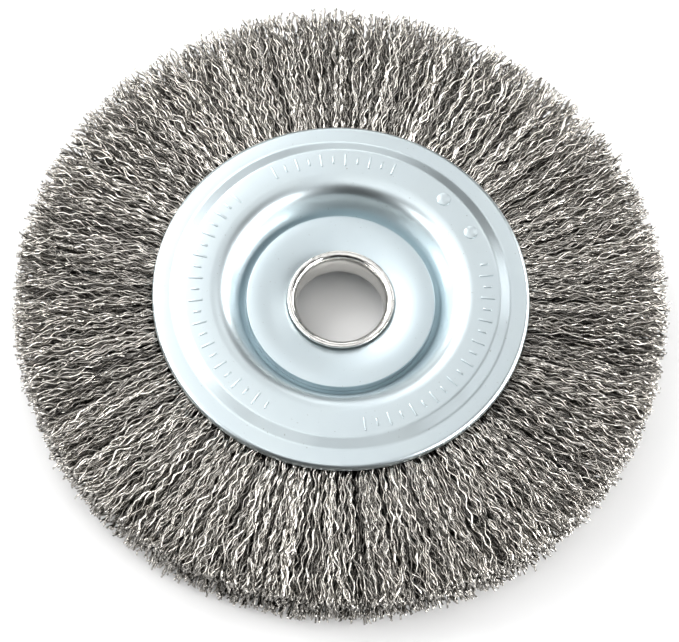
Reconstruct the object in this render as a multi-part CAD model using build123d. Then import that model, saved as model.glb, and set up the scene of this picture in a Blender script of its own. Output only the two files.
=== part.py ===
"""Crimped-wire wheel brush for a bench grinder, about 150 mm across.

The wheel lies flat: +Z runs along the arbor axis and out of the front face plate, and the origin is the
centre of the bore in the wheel's middle plane. All sizes are in millimetres.

Crimped steel wires are folded over a retaining ring in bundles. Two dished face plates pinch the wires
between their rims, and their floors meet in the middle plane. A hub washer lies on each floor. A tube,
flared over at both ends, clamps the washers and the plates together, and its throat is the bore.
"""

from build123d import *

import os

# Driving dimensions of the whole wheel
WHEEL_RADIUS = 77.6
PLATE_RADIUS = 44.1
BORE_RADIUS = 10.3
SHEET = 0.95
FIT = 0.05

# Face plate: heights of its outer surface over the middle plane, and the radii where it turns
SHOULDER_Z = 9.55
PLATEAU_OUTER_Z = 9.25
RIM_Z = 7.95
LIP_BOTTOM_Z = 6.4
GROOVE_RADIUS = 23.0
SHOULDER_RADIUS = 27.4
STEP_INNER_RADIUS = 36.9
STEP_OUTER_RADIUS = 39.7
GROOVE_ROUNDING = 2.2
SHOULDER_ROUNDING = 5.5
STEP_ROUNDING = 2.2
LIP_ROUNDING = 1.2

# Marks pressed up from the plateau: groups of radial bars, long and short in turn, and two round pips.
# Angles are in degrees round the front of the plate, counted from +X
MARK_RISE = 0.3
MARK_RADIUS = 34.1
BAR_WIDTH = 0.9
LONG_BAR = 3.8
SHORT_BAR = 2.2
BAR_PITCH = 4.9
BAR_GROUPS = ((-76.0, 20), (74.0, 11), (142.0, 22))
PIP_RADIUS = 1.9
PIP_ANGLES = (32.0, 50.0)
MARK_ROOT = 0.5

# Hub washer, with a countersink under the tube's flare
WASHER_RADIUS = 22.2
WASHER_TOP_Z = 3.35
WASHER_EDGE = 0.25

# Arbor tube: straight throat, then a flare that opens like a trumpet to a rolled lip
TUBE_WALL = 0.75
THROAT_HALF_LENGTH = 1.3
LIP_CREST_RADIUS = 12.0
LIP_CREST_Z = 4.45
LIP_RADIUS = 12.6
LIP_EDGE_Z = 3.9

# Retaining ring inside the wire loops
RING_RADIUS = 29.0
RING_ROD_RADIUS = 2.0
RING_CLEARANCE = 0.1

# Wire fill: how far the wires reach above the middle plane, by radius, and how they are bundled
BUNDLES = 24
BUNDLE_GAP = 0.12
LOOP_THICKNESS = 0.95
PINCHED_HALF = 6.1
TIP_HALF = 7.2
TIP_CORNER = 1.6
FILL_RISE = ((32.0, 4.4), (38.0, 5.8), (PLATE_RADIUS + 0.6, PINCHED_HALF), (60.0, 6.8))


def section(points, radii):
    """A closed face in the XZ plane through (radius, height) points, each corner rounded by its radius.

    A radius of 0 leaves a corner sharp, and the list starts at the first point.
    """
    corners = [Vector(radius, 0, height) for radius, height in points]
    return make_face(FilletPolyline(*corners, radius=radii, close=True).edges())


def turned(face, degrees=360):
    """The solid that a face in the XZ plane sweeps as it turns about the arbor axis."""
    return revolve(face, axis=Axis.Z, revolution_arc=degrees)


def plateau_height(radius):
    """Height of the plateau's outer surface at a radius."""
    share = (radius - SHOULDER_RADIUS) / (STEP_INNER_RADIUS - SHOULDER_RADIUS)
    return SHOULDER_Z + share * (PLATEAU_OUTER_Z - SHOULDER_Z)


def pressed_marks():
    """The bars and pips that stand up from the plateau, rooted in the sheet."""
    centre_z = plateau_height(MARK_RADIUS) + (MARK_RISE - MARK_ROOT) / 2
    height = MARK_RISE + MARK_ROOT
    marks = []
    for first_angle, count in BAR_GROUPS:
        for number in range(count):
            length = LONG_BAR if number % 2 == 0 else SHORT_BAR
            place = Rot(0, 0, first_angle + number * BAR_PITCH) * Pos(MARK_RADIUS, 0, centre_z)
            marks.append(place * Box(length, BAR_WIDTH, height))
    for angle in PIP_ANGLES:
        place = Rot(0, 0, angle) * Pos(MARK_RADIUS, 0, centre_z)
        marks.append(place * Cylinder(PIP_RADIUS, height))
    return marks


def plain_plate():
    """The front plate's sheet: flat floor, steep dish wall, shoulder, plateau, step, rim and lip."""
    hole = BORE_RADIUS + TUBE_WALL + FIT
    outer = [
        (hole, SHEET),
        (GROOVE_RADIUS, SHEET),
        (SHOULDER_RADIUS, SHOULDER_Z),
        (STEP_INNER_RADIUS, PLATEAU_OUTER_Z),
        (STEP_OUTER_RADIUS, RIM_Z),
        (PLATE_RADIUS, RIM_Z),
        (PLATE_RADIUS, LIP_BOTTOM_Z),
    ]
    wall_run = SHOULDER_RADIUS - GROOVE_RADIUS
    wall_rise = SHOULDER_Z - SHEET
    wall_shift = SHEET * (wall_run**2 + wall_rise**2) ** 0.5 / wall_rise
    floor_shift = SHEET * wall_run / wall_rise
    inner = [
        (PLATE_RADIUS - SHEET, LIP_BOTTOM_Z),
        (PLATE_RADIUS - SHEET, RIM_Z - SHEET),
        (STEP_OUTER_RADIUS - SHEET / 4, RIM_Z - SHEET),
        (STEP_INNER_RADIUS - SHEET / 4, PLATEAU_OUTER_Z - SHEET),
        (SHOULDER_RADIUS + wall_shift - floor_shift, SHOULDER_Z - SHEET),
        (GROOVE_RADIUS + wall_shift - floor_shift, 0),
        (hole, 0),
    ]
    outer_radii = [0, GROOVE_ROUNDING, SHOULDER_ROUNDING, STEP_ROUNDING, STEP_ROUNDING, LIP_ROUNDING, 0]
    inner_radii = [
        0,
        LIP_ROUNDING / 4,
        STEP_ROUNDING,
        STEP_ROUNDING,
        SHOULDER_ROUNDING - SHEET,
        GROOVE_ROUNDING + SHEET,
        0,
    ]
    return turned(section(outer + inner, outer_radii + inner_radii))


def face_plate():
    """The front plate with its pressed marks."""
    return plain_plate() + pressed_marks()


def hub_washer():
    """The front washer on the dish floor, its rim edge broken and its hole countersunk for the flare."""
    hole = BORE_RADIUS + TUBE_WALL + FIT
    seat = LIP_RADIUS + 2 * FIT
    points = [
        (hole, SHEET + FIT),
        (WASHER_RADIUS, SHEET + FIT),
        (WASHER_RADIUS, WASHER_TOP_Z),
        (seat, WASHER_TOP_Z),
        (hole, THROAT_HALF_LENGTH),
    ]
    return turned(section(points, [0, WASHER_EDGE, WASHER_EDGE, 0, 0]))


def flare_profile(side):
    """Edges of the tube's section at one end, from the throat out over the lip and back to the wall."""
    throat = Vector(BORE_RADIUS, 0, side * THROAT_HALF_LENGTH)
    crest = Vector(LIP_CREST_RADIUS, 0, side * LIP_CREST_Z)
    edge = Vector(LIP_RADIUS, 0, side * LIP_EDGE_Z)
    under = Vector(LIP_CREST_RADIUS, 0, side * (LIP_CREST_Z - TUBE_WALL - FIT))
    wall = Vector(BORE_RADIUS + TUBE_WALL, 0, side * THROAT_HALF_LENGTH)
    outwards = Vector(1, 0, 0)
    along = Vector(0, 0, side)
    return [
        Spline(throat, crest, tangents=[along, outwards]),
        Spline(crest, edge, tangents=[outwards, -along]),
        Line(edge, under),
        Spline(under, wall, tangents=[Vector(-1, 0, -side * 0.9), -along]),
    ]


def arbor_tube():
    """The tube that is flared over both washers and holds the wheel together."""
    front = flare_profile(1)
    rear = flare_profile(-1)
    throat = Line(rear[0] @ 0, front[0] @ 0)
    wall = Line(front[-1] @ 1, rear[-1] @ 1)
    return turned(make_face([throat, *front, wall, *rear]))


def retaining_ring():
    """The steel ring that the wires are folded over."""
    rod = Plane.XZ * Pos(RING_RADIUS, 0) * Circle(RING_ROD_RADIUS)
    return turned(rod)


def wire_fill_section():
    """Half section of the wires: a loop round the ring, pinched at the rims, fanning out to the tips."""
    loop = RING_ROD_RADIUS + LOOP_THICKNESS
    top = list(FILL_RISE)
    top += [(WHEEL_RADIUS - TIP_CORNER, TIP_HALF), (WHEEL_RADIUS, TIP_HALF - TIP_CORNER)]
    bottom = [(radius, -height) for radius, height in reversed(top)]
    start = [(RING_RADIUS - loop, -loop / 2), (RING_RADIUS - loop, loop / 2), (RING_RADIUS - loop / 2, loop)]
    finish = [(RING_RADIUS - loop / 2, -loop)]
    outline = make_face(Polyline(*[(r, 0, z) for r, z in start + top + bottom + finish], close=True).edges())
    ring_room = Plane.XZ * Pos(RING_RADIUS, 0) * Circle(RING_ROD_RADIUS + RING_CLEARANCE)
    return outline - ring_room


def wire_bundle(number):
    """One bundle of wires, a wedge of the fill that starts where the one before it ends."""
    pitch = 360 / BUNDLES
    wedge = turned(wire_fill_section(), pitch - BUNDLE_GAP)
    return Rot(0, 0, (number - 1) * pitch + BUNDLE_GAP / 2) * wedge


def turned_over(shape):
    """The same shape on the rear of the wheel."""
    return Rot(180, 0, 0) * shape


def wheel_nodes():
    """Every piece of the wheel by its node name."""
    nodes = {
        "front_face_plate": face_plate(),
        "rear_face_plate": turned_over(face_plate()),
        "front_hub_washer": hub_washer(),
        "rear_hub_washer": turned_over(hub_washer()),
        "arbor_tube": arbor_tube(),
        "retaining_ring": retaining_ring(),
    }
    for number in range(1, BUNDLES + 1):
        nodes[f"wire_bundle_{number:02d}"] = wire_bundle(number)
    return nodes


os.makedirs("parts", exist_ok=True)
for name, shape in wheel_nodes().items():
    export_step(shape, f"parts/{name}.step")
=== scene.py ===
"""Studio model of a crimped-wire wheel brush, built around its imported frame. Lengths are in metres."""

import logging
import math
from dataclasses import dataclass, field, replace

import bpy
import numpy as np
from mathutils import Matrix, Vector


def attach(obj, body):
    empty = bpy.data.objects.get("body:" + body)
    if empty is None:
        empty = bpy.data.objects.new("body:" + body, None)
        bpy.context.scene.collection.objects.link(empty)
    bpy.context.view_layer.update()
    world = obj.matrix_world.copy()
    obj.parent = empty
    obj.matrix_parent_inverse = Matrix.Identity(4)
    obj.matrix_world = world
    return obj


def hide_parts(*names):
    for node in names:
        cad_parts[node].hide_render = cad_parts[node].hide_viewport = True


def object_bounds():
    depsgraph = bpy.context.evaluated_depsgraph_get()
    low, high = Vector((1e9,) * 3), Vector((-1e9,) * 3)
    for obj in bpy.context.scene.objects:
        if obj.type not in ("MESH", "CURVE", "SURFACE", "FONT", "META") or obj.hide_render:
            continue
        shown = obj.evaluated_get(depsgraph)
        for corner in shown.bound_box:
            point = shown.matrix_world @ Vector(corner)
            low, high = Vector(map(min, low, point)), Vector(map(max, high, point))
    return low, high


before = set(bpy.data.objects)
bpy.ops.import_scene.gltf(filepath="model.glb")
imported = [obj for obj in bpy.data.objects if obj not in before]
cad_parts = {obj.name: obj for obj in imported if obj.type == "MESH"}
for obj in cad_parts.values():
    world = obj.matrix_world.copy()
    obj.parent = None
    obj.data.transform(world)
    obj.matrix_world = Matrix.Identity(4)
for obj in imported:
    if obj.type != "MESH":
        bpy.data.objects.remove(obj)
CAD_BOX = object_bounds()

logging.basicConfig(level=logging.INFO, format="%(message)s")
LOG = logging.getLogger("wheel_brush")

MM = 0.001
WELD = MM / 1000
FULL_TURN = 2 * math.pi
Point = tuple[float, float]
Point3 = tuple[float, float, float]
Colour = tuple[float, float, float, float]
MeshData = tuple[np.ndarray, list[list[int]]]
Socket = bpy.types.NodeSocket


# ---------------------------------------------------------------------------------------------- tools


def deselect_all() -> None:
    """Leaves nothing selected, so that an operator acts only on what comes next."""
    if bpy.context.object and bpy.context.object.mode != "OBJECT":
        bpy.ops.object.mode_set(mode="OBJECT")
    bpy.ops.object.select_all(action="DESELECT")


def make_active(piece: bpy.types.Object) -> None:
    """Selects one piece and makes it the active one."""
    deselect_all()
    piece.select_set(True)
    bpy.context.view_layer.objects.active = piece


def arc_points(corner: Vector, before: Vector, after: Vector, radius: float, steps: int) -> list[Point]:
    """Rounds one corner of an outline.

    Args:
        corner: the sharp corner.
        before: the outline's point before it.
        after: the outline's point after it.
        radius: radius of the rounding.
        steps: number of short runs along the rounding.

    Returns:
        Points along the arc, from the side of `before` to the side of `after`.
    """
    to_before = (before - corner).normalized()
    to_after = (after - corner).normalized()
    half = to_before.angle(to_after) / 2
    reach = radius / math.tan(half)
    centre = corner + (to_before + to_after).normalized() * (radius / math.sin(half))
    start = corner + to_before * reach - centre
    end = corner + to_after * reach - centre
    sweep = start.angle_signed(end)
    points = []
    for step in range(steps + 1):
        turn = Matrix.Rotation(-sweep * step / steps, 2)
        spot = centre + turn @ start
        points.append((spot.x, spot.y))
    return points


def rounded_outline(corners: list[Point], radii: list[float], steps: int = 6) -> list[Point]:
    """Rounds the corners of a closed outline.

    Args:
        corners: (radius, height) points round the outline.
        radii: one rounding radius per corner, 0 for a sharp one.
        steps: number of short runs along each rounding.

    Returns:
        The outline's points, corners replaced by arcs.
    """
    points: list[Point] = []
    spots = [Vector(corner) for corner in corners]
    for index, radius in enumerate(radii):
        if radius == 0:
            points.append(corners[index])
            continue
        after = spots[(index + 1) % len(spots)]
        points += arc_points(spots[index], spots[index - 1], after, radius, steps)
    return points


def curve_points(start: Point, pull: Point, push: Point, end: Point, steps: int = 10) -> list[Point]:
    """Points along a cubic curve, the start left out.

    Args:
        start: where the curve starts.
        pull: handle that the curve leaves towards.
        push: handle that the curve arrives from.
        end: where the curve ends.
        steps: number of short runs.

    Returns:
        The points, ending at `end`.
    """
    handles = [Vector(start), Vector(pull), Vector(push), Vector(end)]
    points = []
    for step in range(1, steps + 1):
        share = step / steps
        rest = 1 - share
        weights = (rest**3, 3 * rest**2 * share, 3 * rest * share**2, share**3)
        spot = sum((handle * weight for handle, weight in zip(handles, weights)), Vector((0, 0)))
        points.append((spot.x, spot.y))
    return points


def lathe(name: str, outline: list[Point], steps: int, crease_degrees: float) -> bpy.types.Object:
    """Draws a closed outline and spins it about the arbor axis.

    Args:
        name: name of the new piece.
        outline: (radius, height) points round the outline, without the first one repeated.
        steps: number of facets round the axis.
        crease_degrees: edges sharper than this stay crisp.

    Returns:
        The closed ring, with smooth shading.
    """
    deselect_all()
    start = Vector((outline[0][0], 0, outline[0][1]))
    bpy.ops.mesh.primitive_plane_add(size=MM, location=start)
    piece = bpy.context.object
    piece.name = name
    bpy.ops.object.mode_set(mode="EDIT")
    bpy.ops.mesh.select_mode(type="VERT")
    bpy.ops.mesh.merge(type="CENTER")
    path = outline[1:] + outline[:1]
    here = start
    for radius, height in path:
        there = Vector((radius, 0, height))
        bpy.ops.mesh.extrude_vertices_move(TRANSFORM_OT_translate={"value": there - here})
        here = there
    bpy.ops.mesh.select_all(action="SELECT")
    bpy.ops.mesh.remove_doubles(threshold=WELD)
    bpy.ops.mesh.spin(steps=steps, angle=FULL_TURN, center=(0, 0, 0), axis=(0, 0, 1))
    bpy.ops.mesh.select_all(action="SELECT")
    bpy.ops.mesh.remove_doubles(threshold=WELD)
    bpy.ops.mesh.normals_make_consistent(inside=False)
    bpy.ops.object.mode_set(mode="OBJECT")
    bpy.ops.object.transform_apply(location=True, rotation=True, scale=True)
    bpy.ops.object.shade_smooth_by_angle(angle=math.radians(crease_degrees))
    return piece


def turned_over(piece: bpy.types.Object, name: str) -> bpy.types.Object:
    """Copies a front piece to the rear of the wheel.

    Args:
        piece: the piece on the front.
        name: name of the copy.

    Returns:
        The copy, with a mesh of its own, turned half a turn about X.
    """
    make_active(piece)
    bpy.ops.object.duplicate()
    copy = bpy.context.object
    copy.name = name
    copy.data.name = name
    copy.rotation_euler = (math.pi, 0, 0)
    bpy.ops.object.transform_apply(location=True, rotation=True, scale=True)
    return copy


def finish_piece(piece: bpy.types.Object, material: bpy.types.Material, slot: str, *nodes: str) -> None:
    """Dresses a piece, rides it on the wheel's body and lets it stand for its nodes.

    Args:
        piece: the finished piece.
        material: its material.
        slot: name of the record's material slot; not used.
        nodes: the frame's nodes that it stands for.

    Raises:
        ValueError: if the piece has no faces.
    """
    if not piece.data.polygons:
        raise ValueError(f"{piece.name} has no faces")
    piece.data.materials.clear()
    piece.data.materials.append(material)
    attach(piece, "root")
    if nodes:
        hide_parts(*nodes)
    LOG.info("%s: %d faces", piece.name, len(piece.data.polygons))


# ------------------------------------------------------------------------------------------- finishes


def new_group(name: str, inputs: dict[str, str], outputs: dict[str, str]) -> bpy.types.ShaderNodeTree:
    """Makes an empty shader node group.

    Args:
        name: name of the group.
        inputs: socket type by input name.
        outputs: socket type by output name.

    Returns:
        The group, with its input and output nodes placed.
    """
    group = bpy.data.node_groups.new(name, "ShaderNodeTree")
    for socket, kind in inputs.items():
        group.interface.new_socket(name=socket, in_out="INPUT", socket_type=kind)
    for socket, kind in outputs.items():
        group.interface.new_socket(name=socket, in_out="OUTPUT", socket_type=kind)
    group.nodes.new("NodeGroupInput")
    group.nodes.new("NodeGroupOutput")
    return group


def noise_node(tree: bpy.types.NodeTree, position: Socket, scale: float, detail: float) -> bpy.types.Node:
    """Adds a noise texture.

    Args:
        tree: the tree that it goes in.
        position: socket that gives the position.
        scale: features per metre.
        detail: octaves of finer noise.

    Returns:
        The noise node.
    """
    noise = tree.nodes.new("ShaderNodeTexNoise")
    noise.inputs["Scale"].default_value = scale
    noise.inputs["Detail"].default_value = detail
    tree.links.new(position, noise.inputs["Vector"])
    return noise


def ramp_node(tree: bpy.types.NodeTree, value: Socket, low: float, high: float) -> bpy.types.Node:
    """Adds a node that stretches a value from low..high to 0..1 and clamps it.

    Args:
        tree: the tree that it goes in.
        value: the socket to stretch.
        low: the value that becomes 0.
        high: the value that becomes 1.

    Returns:
        The Map Range node.
    """
    ramp = tree.nodes.new("ShaderNodeMapRange")
    ramp.inputs["From Min"].default_value = low
    ramp.inputs["From Max"].default_value = high
    tree.links.new(value, ramp.inputs["Value"])
    return ramp


def blend_node(tree: bpy.types.NodeTree, kind: str, share: Socket, first: Socket, second: Socket) -> Socket:
    """Adds a node that blends two values or colours.

    Args:
        tree: the tree that it goes in.
        kind: the Mix node's data type.
        share: how much of the second goes in, 0 to 1.
        first: what a share of 0 gives.
        second: what a share of 1 gives.

    Returns:
        The blended socket.
    """
    blend = tree.nodes.new("ShaderNodeMix")
    blend.data_type = kind
    tree.links.new(share, blend.inputs["Factor"])
    tree.links.new(first, blend.inputs["A"])
    tree.links.new(second, blend.inputs["B"])
    return blend.outputs["Result"]


MOTTLE_SCALE, MOTTLE_LOW, MOTTLE_HIGH = 90, 0.22, 0.78
DIRT_SCALE, DIRT_LOW, DIRT_HIGH = 1500, 0.72, 0.84
GRAIN_SCALE = 2600


def metal_skin_group() -> bpy.types.ShaderNodeTree:
    """Builds the surface of plated or rolled metal: soft mottling, fine grain and dark specks.

    Returns:
        A group with Position, Tint, Shade, Speck, Gloss and Dull in, and Colour, Roughness and Height out.
    """
    inputs = {
        "Position": "NodeSocketVector",
        "Tint": "NodeSocketColor",
        "Shade": "NodeSocketColor",
        "Speck": "NodeSocketColor",
        "Gloss": "NodeSocketFloat",
        "Dull": "NodeSocketFloat",
    }
    outputs = {"Colour": "NodeSocketColor", "Roughness": "NodeSocketFloat", "Height": "NodeSocketFloat"}
    group = new_group("metal_skin", inputs, outputs)
    source = group.nodes["Group Input"].outputs
    result = group.nodes["Group Output"].inputs
    mottle = noise_node(group, source["Position"], MOTTLE_SCALE, 2)
    grain = noise_node(group, source["Position"], GRAIN_SCALE, 2)
    dirt = noise_node(group, source["Position"], DIRT_SCALE, 1)
    patch = ramp_node(group, mottle.outputs["Fac"], MOTTLE_LOW, MOTTLE_HIGH).outputs["Result"]
    speck = ramp_node(group, dirt.outputs["Fac"], DIRT_LOW, DIRT_HIGH).outputs["Result"]
    body = blend_node(group, "RGBA", patch, source["Tint"], source["Shade"])
    spotted = blend_node(group, "RGBA", speck, body, source["Speck"])
    gloss = blend_node(group, "FLOAT", patch, source["Gloss"], source["Dull"])
    group.links.new(spotted, result["Colour"])
    group.links.new(gloss, result["Roughness"])
    group.links.new(grain.outputs["Fac"], result["Height"])
    return group


@dataclass(frozen=True)
class MetalFinish:
    """A plated or rolled metal surface."""

    name: str
    tint: Colour
    shade: Colour
    speck: Colour
    gloss: float
    dull: float
    grain_depth: float

    def material(self, skin: bpy.types.ShaderNodeTree) -> bpy.types.Material:
        """Builds the finish.

        Args:
            skin: the shared metal skin group.

        Returns:
            The material.
        """
        material = bpy.data.materials.new(self.name)
        material.use_nodes = True
        tree = material.node_tree
        shader = tree.nodes["Principled BSDF"]
        shader.inputs["Metallic"].default_value = 1.0
        place = tree.nodes.new("ShaderNodeTexCoord")
        surface = tree.nodes.new("ShaderNodeGroup")
        surface.node_tree = skin
        surface.inputs["Tint"].default_value = self.tint
        surface.inputs["Shade"].default_value = self.shade
        surface.inputs["Speck"].default_value = self.speck
        surface.inputs["Gloss"].default_value = self.gloss
        surface.inputs["Dull"].default_value = self.dull
        bump = tree.nodes.new("ShaderNodeBump")
        bump.inputs["Strength"].default_value = 1.0
        bump.inputs["Distance"].default_value = self.grain_depth
        tree.links.new(place.outputs["Object"], surface.inputs["Position"])
        tree.links.new(surface.outputs["Colour"], shader.inputs["Base Color"])
        tree.links.new(surface.outputs["Roughness"], shader.inputs["Roughness"])
        tree.links.new(surface.outputs["Height"], bump.inputs["Height"])
        tree.links.new(bump.outputs["Normal"], shader.inputs["Normal"])
        return material


@dataclass(frozen=True)
class WireFinish:
    """Drawn steel wire, its brightness a little different from wire to wire at random, with painted shade
    on the wires deep in the brush.
    """

    name: str = "crimped_wire_steel"
    dark: Colour = (0.146, 0.139, 0.129, 1)
    light: Colour = (0.718, 0.689, 0.640, 1)
    roughness: float = 0.24

    def material(self) -> bpy.types.Material:
        """Builds the finish, which reads each wire's own value: its random brightness together with the
        painted shade of wires deep in the brush.
        """
        material = bpy.data.materials.new(self.name)
        material.use_nodes = True
        tree = material.node_tree
        shader = tree.nodes["Principled BSDF"]
        shader.inputs["Metallic"].default_value = 1.0
        shader.inputs["Roughness"].default_value = self.roughness
        tone = tree.nodes.new("ShaderNodeAttribute")
        tone.attribute_name = WireBundle.TONE_AND_SHADE
        blend = tree.nodes.new("ShaderNodeMix")
        blend.data_type = "RGBA"
        # the blend runs from the dark colour, which also stands for painted shade on wires deep in the
        # brush, to the light one
        blend.inputs["A"].default_value = self.dark
        blend.inputs["B"].default_value = self.light
        tree.links.new(tone.outputs["Fac"], blend.inputs["Factor"])
        tree.links.new(blend.outputs["Result"], shader.inputs["Base Color"])
        return material


ZINC = MetalFinish(
    name="zinc_plating",
    tint=(0.652, 0.732, 0.756, 1),
    shade=(0.580, 0.655, 0.688, 1),
    speck=(0.38, 0.42, 0.42, 1),
    gloss=0.31,
    dull=0.40,
    grain_depth=2e-6,
)
ZINC_WASHER = MetalFinish(
    name="zinc_washer",
    tint=(0.646, 0.732, 0.765, 1),
    shade=(0.580, 0.667, 0.706, 1),
    speck=(0.40, 0.43, 0.43, 1),
    gloss=0.30,
    dull=0.38,
    grain_depth=2e-6,
)
BRIGHT_STEEL = MetalFinish(
    name="bright_steel",
    tint=(0.86, 0.85, 0.82, 1),
    shade=(0.74, 0.73, 0.70, 1),
    speck=(0.34, 0.33, 0.30, 1),
    gloss=0.14,
    dull=0.24,
    grain_depth=2e-6,
)
DRAWN_STEEL = MetalFinish(
    name="drawn_steel",
    tint=(0.45, 0.44, 0.42, 1),
    shade=(0.36, 0.35, 0.33, 1),
    speck=(0.20, 0.20, 0.20, 1),
    gloss=0.35,
    dull=0.50,
    grain_depth=3e-6,
)


# ---------------------------------------------------------------------------------------- sub-assemblies


@dataclass
class FacePlate:
    """The dished sheet-steel plate on each side, with its pressed marks."""

    sheet: float = 0.95 * MM
    hole: float = 11.1 * MM
    groove_radius: float = 23.0 * MM
    shoulder_radius: float = 27.4 * MM
    shoulder_z: float = 9.55 * MM
    step_inner_radius: float = 36.9 * MM
    plateau_outer_z: float = 9.25 * MM
    step_outer_radius: float = 39.7 * MM
    rim_z: float = 7.95 * MM
    radius: float = 44.1 * MM
    lip_bottom_z: float = 6.4 * MM
    groove_rounding: float = 2.2 * MM
    shoulder_rounding: float = 5.5 * MM
    step_rounding: float = 2.2 * MM
    lip_rounding: float = 1.2 * MM
    facets: int = 240
    crease: float = 40
    mark_radius: float = 34.1 * MM
    mark_rise: float = 0.22 * MM
    mark_root: float = 0.4 * MM
    mark_slope: float = 0.5 * MM
    mark_soft: float = 0.09 * MM
    bar_length: float = 3.8 * MM
    bar_width: float = 0.95 * MM
    short_share: float = 0.58
    bar_pitch_degrees: float = 4.9
    bar_groups: tuple[tuple[float, int], ...] = ((-76, 20), (74, 11), (142, 22))
    pip_radius: float = 1.9 * MM
    pip_facets: int = 24
    pip_degrees: tuple[float, ...] = (32, 50)

    def outline(self) -> list[Point]:
        """The closed section of the sheet, from the hole along the outside and back along the inside."""
        sheet = self.sheet
        run = self.shoulder_radius - self.groove_radius
        rise = self.shoulder_z - sheet
        inset = sheet * (math.hypot(run, rise) - run) / rise
        outside = [
            (self.hole, sheet),
            (self.groove_radius, sheet),
            (self.shoulder_radius, self.shoulder_z),
            (self.step_inner_radius, self.plateau_outer_z),
            (self.step_outer_radius, self.rim_z),
            (self.radius, self.rim_z),
            (self.radius, self.lip_bottom_z),
        ]
        inside = [
            (self.radius - sheet, self.lip_bottom_z),
            (self.radius - sheet, self.rim_z - sheet),
            (self.step_outer_radius - sheet / 4, self.rim_z - sheet),
            (self.step_inner_radius - sheet / 4, self.plateau_outer_z - sheet),
            (self.shoulder_radius + inset, self.shoulder_z - sheet),
            (self.groove_radius + inset, 0),
            (self.hole, 0),
        ]
        groove, shoulder, step, lip = (
            self.groove_rounding, self.shoulder_rounding, self.step_rounding, self.lip_rounding
        )
        outside_radii = [0, groove, shoulder, step, step, lip, 0]
        inside_radii = [0, lip / 4, step, step, shoulder - sheet, groove + sheet, 0]
        return rounded_outline(outside + inside, outside_radii + inside_radii)

    def soften_mark(self, mark: bpy.types.Object, across: Point) -> None:
        """Slopes and softens a mark's sides and tilts it to lie on the plateau.

        Args:
            mark: the upright block or disc.
            across: its size along the radius and across it.
        """
        bpy.ops.object.transform_apply(location=False, rotation=False, scale=True)
        for face in mark.data.polygons:
            face.select = face.normal.z > 0.9
        bpy.ops.object.mode_set(mode="EDIT")
        bpy.ops.mesh.select_mode(type="FACE")
        along_share, across_share = (1 - self.mark_slope / size for size in across)
        bpy.ops.transform.resize(value=(along_share, across_share, 1))
        bpy.ops.mesh.select_all(action="SELECT")
        bpy.ops.mesh.bevel(offset=self.mark_soft, segments=2, affect="EDGES")
        bpy.ops.object.mode_set(mode="OBJECT")
        drop = self.shoulder_z - self.plateau_outer_z
        width = self.step_inner_radius - self.shoulder_radius
        mark.rotation_euler = (0, math.atan2(drop, width), 0)
        bpy.ops.object.transform_apply(location=True, rotation=True, scale=True)

    def mark_place(self) -> Point3:
        """Middle of a mark at the plateau's +X side."""
        height = self.plateau_z(self.mark_radius) + (self.mark_rise - self.mark_root) / 2
        return (self.mark_radius, 0, height)

    def bar(self) -> bpy.types.Object:
        """Models one pressed bar: a low block with sloping, softened sides."""
        deselect_all()
        bpy.ops.mesh.primitive_cube_add(size=1, location=self.mark_place())
        bar = bpy.context.object
        bar.scale = (self.bar_length, self.bar_width, self.mark_rise + self.mark_root)
        self.soften_mark(bar, (self.bar_length, self.bar_width))
        return bar

    def pip(self) -> bpy.types.Object:
        """Models one pressed round pip."""
        deselect_all()
        bpy.ops.mesh.primitive_cylinder_add(
            vertices=self.pip_facets,
            radius=self.pip_radius,
            depth=self.mark_rise + self.mark_root,
            location=self.mark_place(),
        )
        pip = bpy.context.object
        self.soften_mark(pip, (2 * self.pip_radius, 2 * self.pip_radius))
        return pip

    def plateau_z(self, radius: float) -> float:
        """Height of the plateau's outer surface at a radius."""
        share = (radius - self.shoulder_radius) / (self.step_inner_radius - self.shoulder_radius)
        return self.shoulder_z + share * (self.plateau_outer_z - self.shoulder_z)

    def mark_copy(self, mark: bpy.types.Object, degrees: float, share: float) -> bpy.types.Object:
        """Copies a mark to an angle round the plateau.

        Args:
            mark: the mark at the +X side.
            degrees: the angle.
            share: the copy's length along the radius, as a share of the mark's.

        Returns:
            The copy, its turn and length in its mesh.
        """
        copy = mark.copy()
        copy.data = mark.data.copy()
        turn = Matrix.Rotation(math.radians(degrees), 4, "Z")
        outward = Matrix.Translation((self.mark_radius, 0, 0))
        copy.data.transform(turn @ outward @ Matrix.Diagonal((share, 1, 1, 1)) @ outward.inverted())
        bpy.context.collection.objects.link(copy)
        return copy

    def press_marks(self, plate: bpy.types.Object) -> None:
        """Copies the bar and the pip round the plateau and joins the copies to the plate.

        Args:
            plate: the front plate.
        """
        bar, pip = self.bar(), self.pip()
        copies = [self.mark_copy(pip, degrees, 1) for degrees in self.pip_degrees]
        for first_degrees, count in self.bar_groups:
            for number in range(count):
                share = 1 if number % 2 == 0 else self.short_share
                copies.append(self.mark_copy(bar, first_degrees + number * self.bar_pitch_degrees, share))
        bpy.data.objects.remove(bar)
        bpy.data.objects.remove(pip)
        make_active(plate)
        for copy in copies:
            copy.select_set(True)
        bpy.ops.object.join()
        bpy.ops.object.shade_smooth_by_angle(angle=math.radians(self.crease))

    def build(self, material: bpy.types.Material) -> None:
        """Models the front plate, copies it to the rear and dresses both.

        Args:
            material: the plating.
        """
        front = lathe("front_plate", self.outline(), self.facets, self.crease)
        self.press_marks(front)
        rear = turned_over(front, "rear_plate")
        finish_piece(front, material, "zinc_plate", "front_face_plate")
        finish_piece(rear, material, "zinc_plate", "rear_face_plate")


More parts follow.
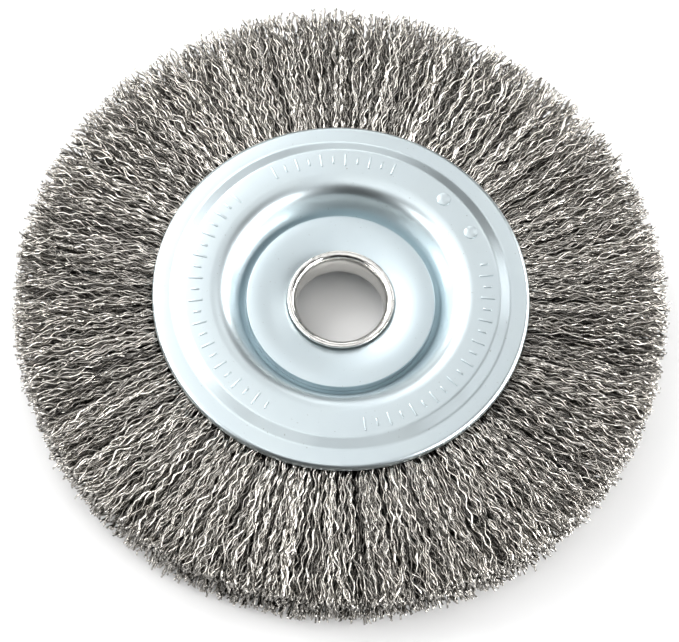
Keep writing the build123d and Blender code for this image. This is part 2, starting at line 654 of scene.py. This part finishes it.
@dataclass
class WireMaster:
    """One straight length of crimped wire, modelled once and copied. It runs along -X from its tip."""

    pitch: float
    swing: float
    tip_phase: float
    thickness: float = 0.52 * MM
    out_of_plane: float = 0.6
    twist: float = 0.7
    visible_length: float = 34 * MM
    root_length: float = 4.5 * MM
    sides: int = 3
    steps_per_wave: int = 5

    def centre_line(self) -> list[Vector]:
        """Points along the middle of the wire, from the tip to the root."""
        step = self.pitch / self.steps_per_wave
        count = math.ceil(self.visible_length / step)
        line = []
        for number in range(count + 1):
            phase = self.tip_phase + FULL_TURN * number / self.steps_per_wave
            across = self.out_of_plane * self.swing * math.cos(self.twist * phase)
            line.append(Vector((-number * step, self.swing * math.sin(phase), across)))
        line.append(Vector((line[-1].x - self.root_length, 0, 0)))
        return line

    def model(self) -> MeshData:
        """Extrudes a small triangle along the wire.

        Returns:
            The corners, one row each, and the corner numbers of each four-sided face.
        """
        line = self.centre_line()
        deselect_all()
        bpy.ops.mesh.primitive_circle_add(
            vertices=self.sides,
            radius=self.thickness / 2,
            fill_type="NGON",
            location=line[0],
            rotation=(0, -math.pi / 2, 0),
        )
        wire = bpy.context.object
        bpy.ops.object.mode_set(mode="EDIT")
        for here, there in zip(line, line[1:]):
            bpy.ops.mesh.extrude_region_move(TRANSFORM_OT_translate={"value": there - here})
        bpy.ops.mesh.select_all(action="SELECT")
        bpy.ops.mesh.normals_make_consistent(inside=False)
        bpy.ops.object.mode_set(mode="OBJECT")
        bpy.ops.object.transform_apply(location=True, rotation=True, scale=True)
        corners = np.array([corner.co for corner in wire.data.vertices], float)
        faces = [list(face.vertices) for face in wire.data.polygons]
        bpy.data.objects.remove(wire)
        LOG.info("wire master: %d corners, %d faces", len(corners), len(faces))
        return corners, faces


@dataclass
class HubWasher:
    """The thick washer on each plate's floor, countersunk for the tube's flare.

    The countersink's edge is below the crease angle, so the shading runs over it and the washer looks a
    little hollow towards the tube.
    """

    hole: float = 11.1 * MM
    radius: float = 22.2 * MM
    bottom_z: float = 1.0 * MM
    top_z: float = 3.35 * MM
    seat_radius: float = 12.7 * MM
    seat_bottom_z: float = 2.3 * MM
    edge: float = 0.25 * MM
    facets: int = 200
    crease: float = 40

    def build(self, material: bpy.types.Material) -> None:
        """Models the front washer, copies it to the rear and dresses both.

        Args:
            material: the plating.
        """
        corners = [
            (self.hole, self.bottom_z),
            (self.radius, self.bottom_z),
            (self.radius, self.top_z),
            (self.seat_radius, self.top_z),
            (self.hole, self.seat_bottom_z),
        ]
        outline = rounded_outline(corners, [0, self.edge, self.edge, 0, 0])
        front = lathe("front_washer", outline, self.facets, self.crease)
        rear = turned_over(front, "rear_washer")
        finish_piece(front, material, "zinc_washer", "front_hub_washer")
        finish_piece(rear, material, "zinc_washer", "rear_hub_washer")


@dataclass
class ArborTube:
    """The tube through the middle, flared over both washers to a thin rolled lip."""

    throat_radius: float = 10.3 * MM
    wall: float = 0.75 * MM
    throat_half: float = 1.3 * MM
    crest_radius: float = 12.0 * MM
    crest_z: float = 4.45 * MM
    lip_radius: float = 12.6 * MM
    lip_z: float = 3.9 * MM
    play: float = 0.05 * MM
    lip_wobble: float = 0.05 * MM
    wobble_width: float = 0.25 * MM
    facets: int = 160
    crease: float = 50
    seed: int = 11

    def half_outline(self) -> list[Point]:
        """The front half of the section, from the throat out over the lip and back to the wall."""
        throat = (self.throat_radius, self.throat_half)
        crest = (self.crest_radius, self.crest_z)
        lip = (self.lip_radius, self.lip_z)
        under = (self.crest_radius, self.crest_z - self.wall - self.play)
        wall = (self.throat_radius + self.wall, self.throat_half)
        rise = self.crest_z - self.throat_half
        flare = self.crest_radius - self.throat_radius

        def handle(base: Point, flares: float, rises: float) -> Point:
            """A handle set off from a point by shares of the flare's width and height."""
            return (base[0] + flares * flare, base[1] + rises * rise)

        points = [throat]
        points += curve_points(throat, handle(throat, 0, 0.6), handle(crest, -0.6, 0), crest)
        points += curve_points(crest, handle(crest, 0.3, 0), handle(lip, 0, 0.12), lip, 5)
        points += curve_points(lip, handle(lip, 0, -0.05), handle(under, 0.2, 0), under, 4)
        points += curve_points(under, handle(under, -0.4, -0.1), handle(wall, 0, 0.3), wall, 6)
        return points

    def roughen_lip(self, tube: bpy.types.Object) -> None:
        """Moves the lip's edge a little at random, as rolling leaves it.

        Args:
            tube: the finished tube.
        """
        make_active(tube)
        near_edge = self.lip_radius - self.wobble_width
        for corner in tube.data.vertices:
            corner.select = math.hypot(corner.co.x, corner.co.y) > near_edge
        bpy.ops.object.mode_set(mode="EDIT")
        bpy.ops.mesh.select_mode(type="VERT")
        bpy.ops.transform.vertex_random(offset=self.lip_wobble, uniform=0, normal=0.5, seed=self.seed)
        bpy.ops.object.mode_set(mode="OBJECT")

    def build(self, material: bpy.types.Material) -> None:
        """Models the tube and dresses it.

        Args:
            material: bright rolled steel.
        """
        front = self.half_outline()
        rear = [(radius, -height) for radius, height in reversed(front)]
        tube = lathe("flared_tube", front + rear, self.facets, self.crease)
        self.roughen_lip(tube)
        finish_piece(tube, material, "bright_tube", "arbor_tube")


@dataclass
class RetainingRing:
    """The ring inside the wire loops, which keeps its own solid from the frame."""

    node: str = "retaining_ring"

    def build(self, material: bpy.types.Material) -> None:
        """Dresses the ring.

        Args:
            material: drawn steel.
        """
        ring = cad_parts[self.node]
        ring.data.materials.clear()
        ring.data.materials.append(material)


@dataclass(frozen=True)
class Wire:
    """Where one wire of a bundle lies."""

    angle: float
    level: float
    roll: float
    lean: float
    bend: float
    bend_phase: float
    heave_phase: float
    tip: float
    stretch: float
    tone: float
    master: int


@dataclass
class WireBundle:
    """The crimped wires of one sector, fanned from between the rims out to the tips."""

    FIRST_SEED = 100
    TONE_AND_SHADE = "wire_tone_and_shade"
    STRIPS = "OFBake"

    number: int
    bundles: int = 24
    clumps: int = 30
    clump_size: int = 3
    singles: int = 140
    strays: int = 4
    rim_radius: float = 44 * MM
    tip_radius: float = 76.2 * MM
    tip_spread: float = 0.5 * MM
    off_centre: float = 0.8 * MM
    off_centre_degrees: float = 75
    longest_radius: float = 77.4 * MM
    rim_half: float = 5.7 * MM
    tip_half: float = 6.9 * MM
    highest: float = 9.3 * MM
    outward_pull: float = 0.7
    stretch_spread: float = 0.03
    lean_degrees: float = 2.4
    lean_power: float = 1.4
    stray_degrees: tuple[float, float] = (5, 11)
    stray_levels: tuple[float, float] = (0.8, 1)
    clump_angle_degrees: float = 0.7
    clump_lean_degrees: float = 1.2
    clump_level: float = 0.25
    clump_roll: float = 0.6
    bend: float = 0.75 * MM
    bend_length: float = 16 * MM
    heave: float = 0.9 * MM
    heave_length: float = 9 * MM
    # painted shade: the mean value of wires deep in the brush, darker than at its faces
    deep_shade_tone: float = 0.30
    face_tone: float = 0.86
    tone_spread: float = 0.26
    strip_width: float = 0.8
    random: np.random.RandomState = field(init=False)

    def __post_init__(self) -> None:
        """Seeds this bundle's random draws."""
        self.random = np.random.RandomState(self.FIRST_SEED + self.number)

    def draw_tip(self, angle: float) -> float:
        """Draws how far out a wire's tip is; the trimmed outside is a little off the arbor's centre."""
        off_centre = self.off_centre * math.cos(angle - math.radians(self.off_centre_degrees))
        return self.random.normal(self.tip_radius + off_centre, self.tip_spread)

    def draw_tone_and_shade(self, level: float) -> float:
        """Draws a wire's brightness, from 0 to 1: painted shade darkens the wires deep in the brush and
        leaves those at its faces bright, and a random spread varies it from wire to wire.
        """
        middle = self.deep_shade_tone + (self.face_tone - self.deep_shade_tone) * level * level
        return float(np.clip(self.random.normal(middle, self.tone_spread), 0, 1))

    def draw_wire(self, masters: int, share: int, shares: int) -> Wire:
        """Draws one wire in its own share of the sector, so that no gaps open between wires.

        Args:
            masters: how many wire masters there are.
            share: number of the wire's share.
            shares: how many shares the sector is cut into.

        Returns:
            The wire.
        """
        draw = self.random
        sector = FULL_TURN / self.bundles
        side = draw.uniform(-1, 1)
        level = math.copysign(abs(side) ** self.outward_pull, side)
        angle = sector * (self.number - 1 + (share + draw.rand()) / shares)
        return Wire(
            angle=angle,
            level=level,
            roll=draw.uniform(0, FULL_TURN),
            lean=math.radians(draw.normal(0, self.lean_degrees)),
            bend=draw.normal(0, self.bend),
            bend_phase=draw.uniform(0, FULL_TURN),
            heave_phase=draw.uniform(0, FULL_TURN),
            tip=self.draw_tip(angle),
            stretch=draw.normal(1, self.stretch_spread),
            tone=self.draw_tone_and_shade(level),
            master=draw.randint(masters),
        )

    def draw_neighbour(self, wire: Wire) -> Wire:
        """Draws a wire that keeps close to another along its length.

        Args:
            wire: the other wire.

        Returns:
            The neighbour.
        """
        draw = self.random
        return replace(
            wire,
            angle=wire.angle + math.radians(draw.normal(0, self.clump_angle_degrees)),
            level=float(np.clip(wire.level + draw.normal(0, self.clump_level), -1, 1)),
            roll=wire.roll + draw.normal(0, self.clump_roll),
            lean=wire.lean + math.radians(draw.normal(0, self.clump_lean_degrees)),
            heave_phase=draw.uniform(0, FULL_TURN),
            tip=self.draw_tip(wire.angle),
            tone=self.draw_tone_and_shade(wire.level),
        )

    def draw_stray(self, masters: int, share: int) -> Wire:
        """Draws a wire near a face that leans well away from the rest.

        Args:
            masters: how many wire masters there are.
            share: number of the wire's share of the sector.

        Returns:
            The stray wire.
        """
        draw = self.random
        wire = self.draw_wire(masters, share, self.strays)
        lean = draw.choice([-1, 1]) * draw.uniform(*self.stray_degrees)
        level = draw.choice([-1, 1]) * draw.uniform(*self.stray_levels)
        return replace(wire, level=level, lean=math.radians(lean))

    def draw_wires(self, masters: int) -> list[Wire]:
        """Draws all of the sector's wires.

        Args:
            masters: how many wire masters there are.

        Returns:
            The wires.
        """
        wires = [self.draw_wire(masters, share, self.singles) for share in range(self.singles)]
        wires += [self.draw_stray(masters, share) for share in range(self.strays)]
        for share in range(self.clumps):
            first = self.draw_wire(masters, share, self.clumps)
            wires += [first] + [self.draw_neighbour(first) for _ in range(self.clump_size - 1)]
        return wires

    def place_wire(self, corners: np.ndarray, wire: Wire) -> np.ndarray:
        """Lays one wire from between the rims out to its tip.

        Args:
            corners: the master's corners, along -X from its tip.
            wire: where the wire lies.

        Returns:
            The corners in place.
        """
        radius = min(wire.tip, self.longest_radius) + corners[:, 0] * wire.stretch
        along = (radius - self.rim_radius) / (self.tip_radius - self.rim_radius)
        fan = np.clip(along, 0, 1)
        half = self.rim_half + (self.tip_half - self.rim_half) * along
        turn = wire.angle + wire.lean * fan**self.lean_power
        slow = wire.bend * fan * np.sin(wire.bend_phase + FULL_TURN * corners[:, 0] / self.bend_length)
        sideways = corners[:, 1] * math.cos(wire.roll) - corners[:, 2] * math.sin(wire.roll) + slow
        heave = self.heave * fan * np.sin(wire.heave_phase + FULL_TURN * corners[:, 0] / self.heave_length)
        upward = corners[:, 1] * math.sin(wire.roll) + corners[:, 2] * math.cos(wire.roll) + heave
        height = np.clip(wire.level * half + upward, -self.highest, self.highest)
        return np.stack([
            radius * np.cos(turn) - sideways * np.sin(turn),
            radius * np.sin(turn) + sideways * np.cos(turn),
            height,
        ], axis=1)

    def strip(self, corners: np.ndarray, index: int, count: int) -> np.ndarray:
        """One wire's texture strip.

        Args:
            corners: the master's corners.
            index: the wire's number in the bundle.
            count: how many wires the bundle has.

        Returns:
            The corners' places in the strip.
        """
        across = (index + 0.5 + self.strip_width * corners[:, 2] / np.ptp(corners[:, 2])) / count
        return np.stack([across, corners[:, 0] / corners[:, 0].min()], axis=1)

    def build(self, masters: list[MeshData], material: bpy.types.Material) -> None:
        """Copies the wire masters into one mesh and dresses it.

        Args:
            masters: corners and faces of each wire master.
            material: the wire's finish.
        """
        wires = self.draw_wires(len(masters))
        placed, faces, tones_and_shade, strips = [], [], [], []
        first = 0
        for index, wire in enumerate(wires):
            corners, sides = masters[wire.master]
            placed.append(self.place_wire(corners, wire))
            faces += [[first + corner for corner in side] for side in sides]
            tones_and_shade += [wire.tone] * len(corners)
            strips.append(self.strip(corners, index, len(wires)))
            first += len(corners)
        name = f"wires_{self.number:02d}"
        mesh = bpy.data.meshes.new(name)
        mesh.from_pydata(np.concatenate(placed).tolist(), [], faces)
        # each wire's value holds its random brightness and the painted shade of its depth in the brush
        tone = mesh.attributes.new(self.TONE_AND_SHADE, "FLOAT", "POINT")
        tone.data.foreach_set("value", np.array(tones_and_shade, np.float32))
        corner_of = np.empty(len(mesh.loops), np.int32)
        mesh.loops.foreach_get("vertex_index", corner_of)
        layer = mesh.uv_layers.new(name=self.STRIPS)
        layer.data.foreach_set("uv", np.concatenate(strips)[corner_of].astype(np.float32).ravel())
        mesh.shade_smooth()
        piece = bpy.data.objects.new(name, mesh)
        bpy.context.collection.objects.link(piece)
        finish_piece(piece, material, "crimped_wire", f"wire_bundle_{self.number:02d}")


# --------------------------------------------------------------------------------------------- studio


@dataclass(frozen=True)
class Softbox:
    """A square soft light on the room's dome, facing the wheel and out of the camera's direct sight."""

    azimuth_degrees: int
    elevation_degrees: int
    radiance: float
    distance: float = 1.0
    size: float = 0.42

    def build(self) -> None:
        """Hangs the softbox."""
        azimuth = math.radians(self.azimuth_degrees)
        elevation = math.radians(self.elevation_degrees)
        level = math.cos(elevation)
        towards = Vector((level * math.cos(azimuth), level * math.sin(azimuth), math.sin(elevation)))
        deselect_all()
        bpy.ops.object.light_add(type="AREA", location=towards * self.distance)
        light = bpy.context.object
        light.name = f"softbox_{self.azimuth_degrees:03d}_{self.elevation_degrees:02d}"
        light.rotation_euler = towards.to_track_quat("Z", "Y").to_euler()
        light.data.size = self.size
        light.data.energy = math.pi * self.size**2 * self.radiance
        light.visible_camera = False


@dataclass
class Studio:
    """Camera, lights and floor."""

    distance: float = 0.6
    tilt_degrees: float = 25.04
    roll_degrees: float = 5.67
    lens_mm: float = 134.85
    aim_drop: float = 3.5 * MM
    aim_left: float = 0.15 * MM
    floor_size: float = 1.0
    floor_white: Colour = (0.9, 0.9, 0.9, 1)
    floor_roughness: float = 0.8
    softboxes: tuple[Softbox, ...] = (
        Softbox(0, 8, 18.91),
        Softbox(30, 8, 10.59),
        Softbox(330, 26, 10.57),
        Softbox(180, 26, 9.63),
        Softbox(150, 8, 8.61),
        Softbox(126, 46, 4.45),
        Softbox(210, 26, 4.13),
        Softbox(162, 46, 3.47),
        Softbox(90, 26, 1.93),
        Softbox(54, 46, 1.40),
        Softbox(240, 66, 1.40),
        Softbox(180, 66, 1.30),
        Softbox(0, 88, 1.19),
        Softbox(300, 66, 1.01),
        Softbox(120, 66, 0.94),
        Softbox(120, 8, 0.91),
        Softbox(0, 26, 0.70),
        Softbox(60, 66, 0.69),
        Softbox(90, 46, 0.58),
        Softbox(180, 8, 0.44),
        Softbox(0, 66, 0.18),
    )

    def add_camera(self) -> None:
        """Places the camera over the near side, looking down at the wheel."""
        tilt = math.radians(self.tilt_degrees)
        roll = math.radians(self.roll_degrees)
        towards = Vector((0, -math.sin(tilt), math.cos(tilt)))
        upright = Vector((0, math.cos(tilt), math.sin(tilt)))
        level = Vector((1, 0, 0))
        right = level * math.cos(roll) + upright * math.sin(roll)
        above = upright * math.cos(roll) - level * math.sin(roll)
        place = towards * self.distance
        aim = above * -self.aim_drop - right * self.aim_left
        back = (place - aim).normalized()
        right = above.cross(back).normalized()
        above = back.cross(right)
        deselect_all()
        bpy.ops.object.camera_add(location=place)
        camera = bpy.context.object
        camera.name = "studio_camera"
        turned = Matrix((right, above, back)).transposed().to_4x4()
        camera.matrix_world = Matrix.Translation(place) @ turned
        camera.data.lens = self.lens_mm
        camera.data.clip_start = 0.01
        bpy.context.scene.camera = camera

    def add_sky(self) -> None:
        """Puts the wheel in a room that looks white but gives no light: the softboxes give all of it."""
        world = bpy.data.worlds.new("studio_room")
        bpy.context.scene.world = world
        world.use_nodes = True
        tree = world.node_tree
        background = tree.nodes["Background"]
        background.inputs["Color"].default_value = (1, 1, 1, 1)
        seen = tree.nodes.new("ShaderNodeLightPath")
        tree.links.new(seen.outputs["Is Camera Ray"], background.inputs["Strength"])

    def add_floor(self) -> None:
        """Lays the pale table under the wheel's lowest point."""
        deselect_all()
        bpy.ops.mesh.primitive_plane_add(size=self.floor_size, location=(0, 0, CAD_BOX[0][2]))
        floor = bpy.context.object
        floor.name = "table"
        material = bpy.data.materials.new("white_table")
        material.use_nodes = True
        shader = material.node_tree.nodes["Principled BSDF"]
        shader.inputs["Base Color"].default_value = self.floor_white
        shader.inputs["Roughness"].default_value = self.floor_roughness
        floor.data.materials.append(material)

    def build(self) -> None:
        """Sets up the whole studio."""
        bpy.context.scene.view_settings.view_transform = "Standard"
        self.add_camera()
        self.add_sky()
        self.add_floor()
        for softbox in self.softboxes:
            softbox.build()


# Crimp of each wire master: pitch and swing in mm, and the phase that its tip was cut at
CRIMPS = (
    (3.8, 0.32, 0.0),
    (4.1, 0.37, 0.8),
    (4.4, 0.40, 1.6),
    (4.7, 0.42, 2.4),
    (5.1, 0.46, 3.2),
    (4.3, 0.35, 4.4),
)


def wire_masters() -> list[MeshData]:
    """Models the wire masters, which differ in crimp and in where the tip was cut."""
    return [WireMaster(pitch * MM, swing * MM, phase).model() for pitch, swing, phase in CRIMPS]


def main() -> None:
    """Builds the wheel and its studio, piece by piece."""
    Studio().build()
    skin = metal_skin_group()
    FacePlate().build(ZINC.material(skin))
    HubWasher().build(ZINC_WASHER.material(skin))
    ArborTube().build(BRIGHT_STEEL.material(skin))
    RetainingRing().build(DRAWN_STEEL.material(skin))
    masters = wire_masters()
    wire_steel = WireFinish().material()
    for number in range(1, WireBundle.bundles + 1):
        WireBundle(number).build(masters, wire_steel)


if __name__ == "__main__":
    main()
